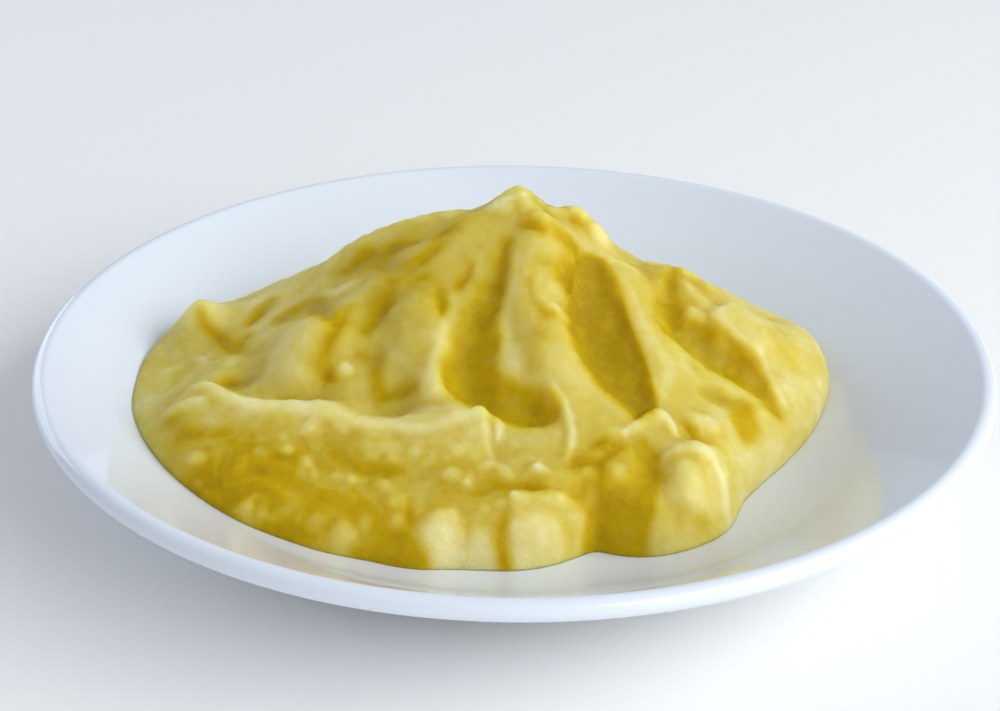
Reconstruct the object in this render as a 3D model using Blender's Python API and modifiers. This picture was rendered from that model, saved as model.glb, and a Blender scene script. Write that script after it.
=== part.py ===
"""A side of mashed potato heaped on a round coupe plate.

The plate is centred on the origin and stands on Z = 0; the eater sits on the -Y side.
Lengths are in millimetres up to the last step, where MM turns them into metres.
"""
import math

import bmesh
import bpy
import numpy as np

MM = 0.001
NAME = "mashed_potato_plate"

# The plate: a flat floor, one bend, a straight flared wall and a rolled lip.
PLATE_RADIUS = 110.0
FLOOR_RADIUS = 50.0
FLOOR_TOP = 7.0
BEND_RADIUS = 58.0
WALL_SLOPE = math.radians(33.0)
WALL_THICKNESS = 3.9
LIP_RADIUS = 2.35
FOOT_OUTER = 58.0
FOOT_INNER = 52.0
FOOT_EDGE = 0.6
PLATE_STEPS = 72
BEND_POINTS = 6
LIP_POINTS = 10

# The heap of mash: one summit, flanks that fall to a rounded edge, and a foot on the plate.
SUMMIT = (1.0, 31.0)
SUMMIT_HEIGHT = 59.8
SUMMIT_ROUNDING = 0.006
FLANK_HOLLOW = 1.15
EDGE_WIDTH = 9.0
FOOT_GAP = 0.45
TOP_CELLS = 50
UNDER_CELLS = 25
SMOOTHINGS = 2
CURVE_STEP = 1.5
STROKE_STEP = 0.8
GROOVE_SOFTNESS = 1.3
LEAST_HALF_WIDTH = 4.0

# Bearing from the summit (0 is +X, 90 is the back) and how far the heap reaches there.
OUTLINE = (
    (4, 71), (17, 60), (35, 46), (64, 38), (93, 36), (127, 40), (154, 48),
    (168, 63), (180, 82), (190, 90), (199, 95), (208, 99.5), (222, 102.5), (233, 101.5),
    (239, 99), (244, 97.5), (250, 95), (256, 94.5), (262, 91.5), (270, 90.5), (275, 88),
    (278, 85.5), (281.5, 83.5), (284, 86), (287, 89), (291, 91), (297, 90.5), (302, 87.5),
    (306, 83), (310, 79.5), (316, 77.5), (324, 77), (335, 77.5), (349, 77),
)
# Bearing, reach of the flank, and height of the rounded edge under it.
FLANKS = (
    (20, 56, 10), (60, 39, 9), (105, 36, 8), (150, 50, 10), (170, 70, 9), (185, 84, 6),
    (203, 90, 6), (220, 100, 8), (255, 93, 9), (290, 90, 10), (325, 74, 11), (352, 72, 12),
)
# Centre, reach along X and Y, and height of each soft swelling.
SWELLINGS = (
    ((-30, 30), (14, 12), 3),
    ((-76, 18), (6, 7), 4),
    ((-9, 31), (7, 6), -2.5),
    ((14, 30), (6, 7), 2),
    ((30, 30), (9, 10), -5),
    ((52, 6), (15, 13), 3),
    ((9, 32), (4.5, 6), -3),
    ((62, 30), (9, 9), -3.5),
    ((73, 14), (5, 8), -1.5),
    ((-76, 20), (5, 4), 2.5),
    ((-65, 32), (6, 5), -2),
    ((-37, 29), (7, 6), 1.6),
    ((37, 29), (5, 5), 1.6),
    ((21, 27), (3, 4), 2),
)
# Each spoon mark: its path away from the summit, its height (a cut is negative), then for
# its left and its right side the width and how crisply that side ends, and the share of
# its length over which it fades in and out.
SPOON_MARKS = (
    (((-76, -14), (-66, -22), (-53, -28), (-40, -28), (-30, -32), (-18, -33), (-6, -31)),
     2.2, (8, 1.5), (14, 2.0), (0.10, 0.02)),
    (((-70, -6), (-58, -18), (-42, -21), (-28, -25), (-18, -25)),
     -3.5, (15, 2.0), (7, 1.3), (0.20, 0.15)),
    (((-22, 6), (-20, -6), (-18, -18), (-19, -26)), 1.8, (6, 1.5), (9, 2.0), (0.30, 0.10)),
    (((-46, 6), (-49, -10), (-51, -22)), 2.0, (8, 2.0), (8, 2.0), (0.30, 0.30)),
    (((-30, 8), (-33, -6), (-33, -18)), -2.5, (8, 2.0), (8, 2.0), (0.30, 0.30)),
    (((-58, 6), (-61, -8), (-60, -16)), -2.0, (7, 2.0), (8, 2.0), (0.30, 0.30)),
    (((10, 24), (5, 10), (4, -2), (7, -12), (11, -24), (12, -34)),
     2.5, (8, 1.5), (8, 2.0), (0.10, 0.30)),
    (((25, 22), (30, 8), (34, -4), (40, -14)), 2.0, (6, 1.2), (8, 1.8), (0.10, 0.30)),
    (((46, 14), (56, 8), (62, 0)), 3.0, (15, 2.0), (9, 1.6), (0.20, 0.30)),
    (((38, -30), (40, -40), (40, -50)), 3.0, (10, 1.6), (8, 1.4), (0.20, 0.10)),
)
# The big grooves left by the spoon: path with the half width at every point, and depth.
GROOVES = (
    (((-1.8, 14, 1.6), (-3.5, 8, 2.4), (-6.5, 2, 3.2), (-9.5, -5, 4.2), (-11, -12, 5.0),
      (-10.5, -19, 6.2), (-7, -24.5, 6.6), (-1, -27, 5.8), (5, -28, 5.0), (8, -28.5, 3.6)), 3.6),
    (((19.5, 18, 3.4), (19.5, 12, 5.2), (19.5, 4, 6.4), (20.5, -5, 8.6), (23.5, -13, 8.0),
      (26, -20, 5.4), (28, -25, 3.2)), 3.6),
    (((38.5, 27, 1.2), (37.5, 19, 2.2), (37.0, 11, 3.4), (38.0, 5.5, 4.6), (42.0, 4.5, 5.0),
      (47.0, 2.5, 5.0), (51.5, 0.5, 3.8), (56.0, -3.0, 2.4), (60.5, -8.0, 0.9)), 2.6),
    (((27.5, -32, 2.0), (28.5, -35, 3.2), (28.8, -40, 3.0), (27.8, -45, 3.4), (25, -49.5, 4.8),
      (21.5, -53, 6.9)), 2.4),
)
# The largest lumps and dents: centre, reach along X and Y, and rise.
LUMPS = (
    ((0.5, 30), (5.0, 5.0), 0.8),
    ((-40, 12), (5.0, 3.4), 1.0),
    ((46.5, -12), (6.0, 4.0), -1.2),
    ((36.5, -45), (5.0, 7.0), 1.2),
    ((-15.5, -57), (5.6, 4.6), 1.5),
    ((5.5, -56), (6.6, 4.6), 1.5),
)

MASH_COLOUR = (0.76, 0.63, 0.20, 1.0)
PORCELAIN_COLOUR = (0.86, 0.88, 0.90, 1.0)


def clear_scene():
    for thing in list(bpy.data.objects):
        bpy.data.objects.remove(thing)


def new_collection(name):
    collection = bpy.data.collections.new(name)
    bpy.context.scene.collection.children.link(collection)
    return collection


def new_material(name, colour, roughness):
    material = bpy.data.materials.new(name)
    material.use_nodes = True
    shader = material.node_tree.nodes["Principled BSDF"]
    shader.inputs["Base Color"].default_value = colour
    shader.inputs["Roughness"].default_value = roughness
    shader.inputs["Metallic"].default_value = 0.0
    return material


def new_object(name, mesh, material, collection):
    mesh.materials.append(material)
    thing = bpy.data.objects.new(name, mesh)
    collection.objects.link(thing)
    return thing


# ---- the plate ----

def arc(centre, radius, start, end, count):
    """Points on an arc; angles in radians from +X, both ends included."""
    turns = [start + (end - start) * k / (count - 1) for k in range(count)]
    return [(centre[0] + radius * math.cos(a), centre[1] + radius * math.sin(a)) for a in turns]


def lip_centre():
    """The rolled lip touches the inner wall line and reaches the plate's full radius."""
    x = PLATE_RADIUS - LIP_RADIUS
    bend_x, bend_z = bend_point(BEND_RADIUS)
    touch_x = x - LIP_RADIUS * math.sin(WALL_SLOPE)
    touch_z = bend_z + (touch_x - bend_x) * math.tan(WALL_SLOPE)
    return x, touch_z - LIP_RADIUS * math.cos(WALL_SLOPE)


def bend_point(radius):
    """Where the bend of that radius turns into the straight wall."""
    height = FLOOR_TOP + BEND_RADIUS
    return FLOOR_RADIUS + radius * math.sin(WALL_SLOPE), height - radius * math.cos(WALL_SLOPE)


def plate_profile():
    """The plate's section, from the middle of the floor over the lip to the middle of the base."""
    bend_centre = (FLOOR_RADIUS, FLOOR_TOP + BEND_RADIUS)
    down = -math.pi / 2
    outer = BEND_RADIUS + WALL_THICKNESS
    normal = WALL_SLOPE + math.pi / 2
    wall_offset = WALL_THICKNESS - LIP_RADIUS
    lip_end = normal - math.pi - math.acos(wall_offset / LIP_RADIUS)
    foot_turn = math.asin((FOOT_OUTER - FLOOR_RADIUS) / outer)
    base = FLOOR_TOP - WALL_THICKNESS
    points = [(0.0, FLOOR_TOP)]
    points += arc(bend_centre, BEND_RADIUS, down, down + WALL_SLOPE, BEND_POINTS)
    points += arc(lip_centre(), LIP_RADIUS, normal, lip_end, LIP_POINTS)
    points += arc(bend_centre, outer, down + WALL_SLOPE, down + foot_turn, BEND_POINTS - 1)
    points += [(FOOT_OUTER - FOOT_EDGE, FOOT_EDGE), (FOOT_OUTER - 2 * FOOT_EDGE, 0.0)]
    points += [(FOOT_INNER + 2 * FOOT_EDGE, 0.0), (FOOT_INNER + FOOT_EDGE, FOOT_EDGE)]
    points += [(FOOT_INNER, base), (0.0, base)]
    return points


def make_plate(collection):
    mesh = bpy.data.meshes.new("plate")
    points = [(x * MM, 0.0, z * MM) for x, z in plate_profile()]
    mesh.from_pydata(points, [(k, k + 1) for k in range(len(points) - 1)], [])
    material = new_material("porcelain", PORCELAIN_COLOUR, 0.12)
    plate = new_object("plate", mesh, material, collection)
    screw = plate.modifiers.new("turn", "SCREW")
    screw.axis = "Z"
    screw.angle = math.tau
    screw.steps = PLATE_STEPS
    screw.render_steps = PLATE_STEPS
    screw.use_merge_vertices = True
    screw.merge_threshold = 0.00005
    screw.use_normal_calculate = True
    screw.use_smooth_shade = True
    return plate


def plate_surface(radius):
    """Height of the plate's inner surface at a distance from its axis."""
    bend_end, bend_height = bend_point(BEND_RADIUS)
    inside = np.clip(radius - FLOOR_RADIUS, 0, BEND_RADIUS * math.sin(WALL_SLOPE))
    curved = FLOOR_TOP + BEND_RADIUS - np.sqrt(BEND_RADIUS ** 2 - inside ** 2)
    straight = bend_height + (radius - bend_end) * math.tan(WALL_SLOPE)
    return np.where(radius > bend_end, straight, curved)


# ---- the heap ----

def smoothstep(low, high, value):
    share = np.clip((value - low) / (high - low), 0, 1)
    return share * share * (3 - 2 * share)


def round_the_compass(bearing, table, column):
    """Smooth periodic curve through one column of a table whose first column is a bearing."""
    rows = np.array(table, dtype=float)
    turns = np.concatenate([rows[-2:, 0] - 360, rows[:, 0], rows[:3, 0] + 360])
    values = np.concatenate([rows[-2:, column], rows[:, column], rows[:3, column]])
    wrapped = np.mod(bearing, 360)
    wrapped = np.where(wrapped < rows[0, 0], wrapped + 360, wrapped)
    k = np.clip(np.searchsorted(turns, wrapped, side="right") - 1, 1, len(turns) - 3)
    span = turns[k + 1] - turns[k]
    t = (wrapped - turns[k]) / span
    leave = (values[k + 1] - values[k - 1]) / (turns[k + 1] - turns[k - 1]) * span
    arrive = (values[k + 2] - values[k]) / (turns[k + 2] - turns[k]) * span
    near = (2 * t ** 3 - 3 * t ** 2 + 1) * values[k] + (t ** 3 - 2 * t ** 2 + t) * leave
    return near + (3 * t ** 2 - 2 * t ** 3) * values[k + 1] + (t ** 3 - t ** 2) * arrive


def smooth_path(points, step):
    """Evenly spaced points on a smooth curve through the given ones."""
    given = np.array(points, dtype=float)
    ends = np.vstack([2 * given[0] - given[1], given, 2 * given[-1] - given[-2]])
    made = []
    for a, b, c, d in zip(ends, ends[1:], ends[2:], ends[3:]):
        count = max(2, int(np.hypot(*(c - b)[:2]) / step))
        for t in np.linspace(0, 1, count, endpoint=False):
            made.append(0.5 * (2 * b + (c - a) * t + (2 * a - 5 * b + 4 * c - d) * t ** 2
                               + (3 * b - a - 3 * c + d) * t ** 3))
    made.append(given[-1])
    return np.array(made)


def follow(x, y, points):
    """Distance to the left of a path, and the share of its length passed, at each place."""
    path = smooth_path(points, CURVE_STEP)
    heading = np.gradient(path, axis=0)
    heading /= np.hypot(heading[:, 0], heading[:, 1])[:, None]
    passed = np.concatenate([[0], np.cumsum(np.hypot(*np.diff(path, axis=0).T))])
    dx = x[:, None] - path[:, 0]
    dy = y[:, None] - path[:, 1]
    away = dx ** 2 + dy ** 2
    weight = np.exp(-(away - away.min(axis=1, keepdims=True)) / (4 * CURVE_STEP ** 2))
    weight /= weight.sum(axis=1, keepdims=True)
    left = heading[:, 0] * dy - heading[:, 1] * dx
    ahead = passed + heading[:, 0] * dx + heading[:, 1] * dy
    return (weight * left).sum(axis=1), (weight * ahead).sum(axis=1) / passed[-1]


def spoon_mark(x, y, mark):
    """Height that one spoon mark adds at each place."""
    path, height, left_side, right_side, fades = mark
    left, share = follow(x, y, path)
    width = np.where(left > 0, left_side[0], right_side[0])
    crispness = np.where(left > 0, left_side[1], right_side[1])
    section = np.clip(1 - (left / width) ** 2, 0, 1) ** crispness
    fade_in = smoothstep(-0.01, fades[0], share)
    fade_out = 1 - smoothstep(1 - fades[1], 1.01, share)
    return height * section * fade_in * fade_out


def groove(x, y, points, depth):
    """Depth that a groove of changing half width has at each place."""
    path = smooth_path(points, STROKE_STEP)
    half = np.maximum(path[:, 2], LEAST_HALF_WIDTH)
    away = (x[:, None] - path[:, 0]) ** 2 + (y[:, None] - path[:, 1]) ** 2
    bowl = np.clip(1 - away / half ** 2, 0, 1) ** GROOVE_SOFTNESS
    return depth * (bowl * half / half.max()).max(axis=1)


def heap_height(x, y):
    """Height of the heap's upper surface at each place inside its outline."""
    dx = x - SUMMIT[0]
    dy = y - SUMMIT[1]
    away = np.hypot(dx, dy)
    bearing = np.degrees(np.arctan2(dy, dx))
    ux = np.cos(np.radians(bearing))
    uy = np.sin(np.radians(bearing))

    def foot(reach):
        return plate_surface(np.hypot(SUMMIT[0] + reach * ux, SUMMIT[1] + reach * uy)) + FOOT_GAP

    flank = round_the_compass(bearing, FLANKS, 1)
    shoulder = foot(flank) + round_the_compass(bearing, FLANKS, 2)
    share = np.clip(away / flank, 0, 1)
    rounding = math.sqrt(SUMMIT_ROUNDING)
    slope = np.sqrt(share ** 2 + SUMMIT_ROUNDING) - rounding * (1 - share) ** 2
    slope = np.clip(slope / math.sqrt(1 + SUMMIT_ROUNDING), 0, 1)
    height = shoulder + (SUMMIT_HEIGHT - shoulder) * (1 - slope) ** FLANK_HOLLOW
    for centre, reach, rise in SWELLINGS:
        spread = ((x - centre[0]) / reach[0]) ** 2 + ((y - centre[1]) / reach[1]) ** 2
        height = height + rise * np.exp(-spread)
    for mark in SPOON_MARKS:
        height = height + spoon_mark(x, y, mark)
    for path, depth in GROOVES:
        height = height - groove(x, y, path, depth)
    for centre, reach, rise in LUMPS:
        spread = ((x - centre[0]) / reach[0]) ** 2 + ((y - centre[1]) / reach[1]) ** 2
        height = height + rise * np.clip(1 - spread, 0, 1)

    outline = round_the_compass(bearing, OUTLINE, 1)
    ground = foot(outline)
    beyond = np.clip((away - outline + EDGE_WIDTH) / EDGE_WIDTH, 0, 1)
    return ground + (height - ground) * np.sqrt(1 - beyond ** 2)


def square_to_outline(u, v):
    """Place of each point of the square from -1 to 1, spread evenly over the heap's outline."""
    wide = np.abs(u) >= np.abs(v)
    reach = np.where(wide, u, v)
    safe = np.where(reach == 0, 1, reach)
    turn = np.where(wide, v / safe * math.pi / 4, math.pi / 2 - u / safe * math.pi / 4)
    bearing = np.degrees(np.arctan2(reach * np.sin(turn), reach * np.cos(turn)))
    flat = round_the_compass(bearing, OUTLINE, 1) - EDGE_WIDTH
    flat_share = flat / (flat + EDGE_WIDTH * math.pi / 2)
    over_edge = np.clip((np.abs(reach) - flat_share) / (1 - flat_share), 0, 1) * math.pi / 2
    away = np.minimum(np.abs(reach) / flat_share, 1) * flat + EDGE_WIDTH * np.sin(over_edge)
    bearing = np.radians(bearing)
    return SUMMIT[0] + away * np.cos(bearing), SUMMIT[1] + away * np.sin(bearing)


def add_skin(bm, cells, height_of):
    """Lay a grid of square cells over the outline, lift it to a height and return its vertices."""
    first = len(bm.verts)
    bmesh.ops.create_grid(bm, x_segments=cells, y_segments=cells, size=1.0)
    cuts = TOP_CELLS // cells - 1
    if cuts:
        rim = [edge for edge in bm.edges if edge.is_boundary]
        bmesh.ops.subdivide_edges(bm, edges=rim, cuts=cuts)
    made = list(bm.verts)[first:]
    flat = np.array([vert.co[:2] for vert in made])
    x, y = square_to_outline(flat[:, 0], flat[:, 1])
    for vert, place in zip(made, np.stack([x, y, height_of(x, y)], axis=1)):
        vert.co = place * MM
    return made


def under_height(x, y):
    return plate_surface(np.hypot(x, y)) + FOOT_GAP


def make_mash(collection):
    bm = bmesh.new()
    add_skin(bm, UNDER_CELLS, under_height)
    bmesh.ops.reverse_faces(bm, faces=bm.faces)
    top = add_skin(bm, TOP_CELLS, heap_height)
    inner = [vert for vert in top if not vert.is_boundary]
    for _ in range(SMOOTHINGS):
        bmesh.ops.smooth_vert(bm, verts=inner, factor=0.5, use_axis_z=True)
    bmesh.ops.triangulate(bm, faces=bm.faces, quad_method="SHORT_EDGE")
    bmesh.ops.remove_doubles(bm, verts=bm.verts, dist=0.00001)
    mesh = bpy.data.meshes.new("mash")
    bm.to_mesh(mesh)
    bm.free()
    mesh.shade_smooth()
    return new_object("mash", mesh, new_material("mash", MASH_COLOUR, 0.45), collection)


def main():
    clear_scene()
    collection = new_collection(NAME)
    make_plate(collection)
    make_mash(collection)


main()
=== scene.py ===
"""Looks of the mashed potato side on its plate, laid out as an add-on and run as a script.

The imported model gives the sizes. The plate is turned again with a fine lip and foot, and the
heap is sculpted again with its spoon marks, slits, pits and lumps. Tables of the heap are in
millimetres, as in the construction, and MM turns them into metres.
"""
import math

import bmesh
import bpy
import numpy as np
from bpy.props import FloatProperty, FloatVectorProperty, IntProperty, PointerProperty
from bpy.types import Operator, Panel, PropertyGroup
from mathutils import Matrix, Vector, noise


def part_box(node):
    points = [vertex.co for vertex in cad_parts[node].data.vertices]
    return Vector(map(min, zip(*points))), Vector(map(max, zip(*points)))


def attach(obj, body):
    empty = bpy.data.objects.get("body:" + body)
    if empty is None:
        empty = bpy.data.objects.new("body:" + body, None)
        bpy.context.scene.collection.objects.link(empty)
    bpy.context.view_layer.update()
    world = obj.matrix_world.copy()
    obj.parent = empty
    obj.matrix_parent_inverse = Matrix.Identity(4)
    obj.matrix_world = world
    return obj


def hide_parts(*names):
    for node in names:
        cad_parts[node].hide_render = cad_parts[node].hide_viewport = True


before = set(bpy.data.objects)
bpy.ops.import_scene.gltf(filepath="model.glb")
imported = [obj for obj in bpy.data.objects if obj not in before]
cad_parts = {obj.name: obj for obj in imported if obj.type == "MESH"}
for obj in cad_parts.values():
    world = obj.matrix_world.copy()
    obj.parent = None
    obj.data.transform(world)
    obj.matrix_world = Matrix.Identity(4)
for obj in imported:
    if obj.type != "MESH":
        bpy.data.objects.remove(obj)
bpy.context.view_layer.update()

bl_info = {
    "name": "Mashed potato side",
    "version": (1, 0, 0),
    "blender": (4, 5, 0),
    "location": "3D View > Sidebar > Mash",
    "description": "Builds a plated side of mashed potato around its packed model",
    "category": "Object",
}

MM = 0.001
PLATE_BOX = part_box("plate")
HEAP_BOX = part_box("mash")

# Bearing from the summit (0 is +X, 90 is the back) and how far the heap reaches there.
OUTLINE = (
    (4, 71), (17, 60), (35, 46), (64, 38), (93, 36), (127, 40), (154, 48),
    (168, 63), (180, 82), (190, 90), (199, 95), (208, 99.5), (222, 102.5), (233, 101.5),
    (239, 99), (244, 97.5), (250, 95), (256, 94.5), (262, 91.5), (270, 90.5), (275, 88),
    (278, 85.5), (281.5, 83.5), (284, 86), (287, 89), (291, 91), (297, 90.5), (302, 87.5),
    (306, 83), (310, 79.5), (316, 77.5), (324, 77), (335, 77.5), (349, 77),
)
# Bearing, reach of the flank, and height of the rounded edge under it.
FLANKS = (
    (20, 56, 10), (60, 39, 9), (105, 36, 8), (150, 50, 10), (170, 70, 9), (185, 84, 6),
    (203, 90, 6), (220, 100, 8), (255, 93, 9), (290, 90, 10), (325, 74, 11), (352, 72, 12),
)
# Centre, reach along X and Y, and height of each soft swelling.
SWELLINGS = (
    ((-30, 30), (14, 12), 3),
    ((-76, 18), (6, 7), 4),
    ((-9, 31), (7, 6), -2.5),
    ((14, 30), (6, 7), 2),
    ((30, 30), (9, 10), -5),
    ((52, 6), (15, 13), 3),
    ((9, 32), (4.5, 6), -3),
    ((62, 30), (9, 9), -3.5),
    ((73, 14), (5, 8), -1.5),
    ((-76, 20), (5, 4), 2.5),
    ((-65, 32), (6, 5), -2),
    ((-37, 29), (7, 6), 1.6),
    ((37, 29), (5, 5), 1.6),
    ((21, 27), (3, 4), 2),
)
# Each spoon mark: its path away from the summit, its height (a cut is negative), then for
# its left and its right side the width and how crisply that side ends, and the share of
# its length over which it fades in and out.
SPOON_MARKS = (
    (((-76, -14), (-66, -22), (-53, -28), (-40, -28), (-30, -32), (-18, -33), (-6, -31)),
     2.2, (8, 1.5), (14, 2.0), (0.10, 0.02)),
    (((-70, -6), (-58, -18), (-42, -21), (-28, -25), (-18, -25)),
     -3.5, (15, 2.0), (7, 1.3), (0.20, 0.15)),
    (((-22, 6), (-20, -6), (-18, -18), (-19, -26)), 1.8, (6, 1.5), (9, 2.0), (0.30, 0.10)),
    (((-46, 6), (-49, -10), (-51, -22)), 2.0, (8, 2.0), (8, 2.0), (0.30, 0.30)),
    (((-30, 8), (-33, -6), (-33, -18)), -2.5, (8, 2.0), (8, 2.0), (0.30, 0.30)),
    (((-58, 6), (-61, -8), (-60, -16)), -2.0, (7, 2.0), (8, 2.0), (0.30, 0.30)),
    (((10, 24), (5, 10), (4, -2), (7, -12), (11, -24), (12, -34)),
     2.5, (8, 1.5), (8, 2.0), (0.10, 0.30)),
    (((25, 22), (30, 8), (34, -4), (40, -14)), 2.0, (6, 1.2), (8, 1.8), (0.10, 0.30)),
    (((46, 14), (56, 8), (62, 0)), 3.0, (15, 2.0), (9, 1.6), (0.20, 0.30)),
    (((38, -30), (40, -40), (40, -50)), 3.0, (10, 1.6), (8, 1.4), (0.20, 0.10)),
)
# The big grooves left by the spoon: path with the half width at every point, depth, and the tone
# of the deep yellow painted inside as shade.
GROOVES = (
    (((-1.8, 14, 1.6), (-3.5, 8, 2.4), (-5.2, 2, 3.3), (-8.0, -5, 4.3), (-9.2, -12, 5.8),
      (-9.8, -19, 6.8), (-7, -24.5, 6.6), (-1, -27, 5.8), (4.5, -28.5, 5.2), (6.5, -29.5, 3.6)),
     3.6, 0.82),
    (((19.0, 15, 2.4), (19.2, 11, 4.3), (19.0, 4, 6.2), (19.4, -5, 8.5), (22.2, -13, 8.2),
      (26, -20, 5.4), (28, -25, 3.2)), 3.6, 1.0),
    (((38.5, 27, 1.2), (37.5, 19, 2.2), (36.5, 10.5, 3.6), (37, 4, 5.0), (41.3, 2.6, 5.4),
      (46.6, 0.9, 5.8), (51.4, -1.2, 5.2), (56, -4.4, 3.4), (60.6, -9.0, 1.4)), 2.8, 0.80),
    (((28, -34.5, 1.6), (28.6, -37, 2.8), (28.8, -41, 3.0), (27.8, -45, 3.4), (25, -49.5, 4.8),
      (21.5, -53, 6.9)), 2.4, 0.86),
)
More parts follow.
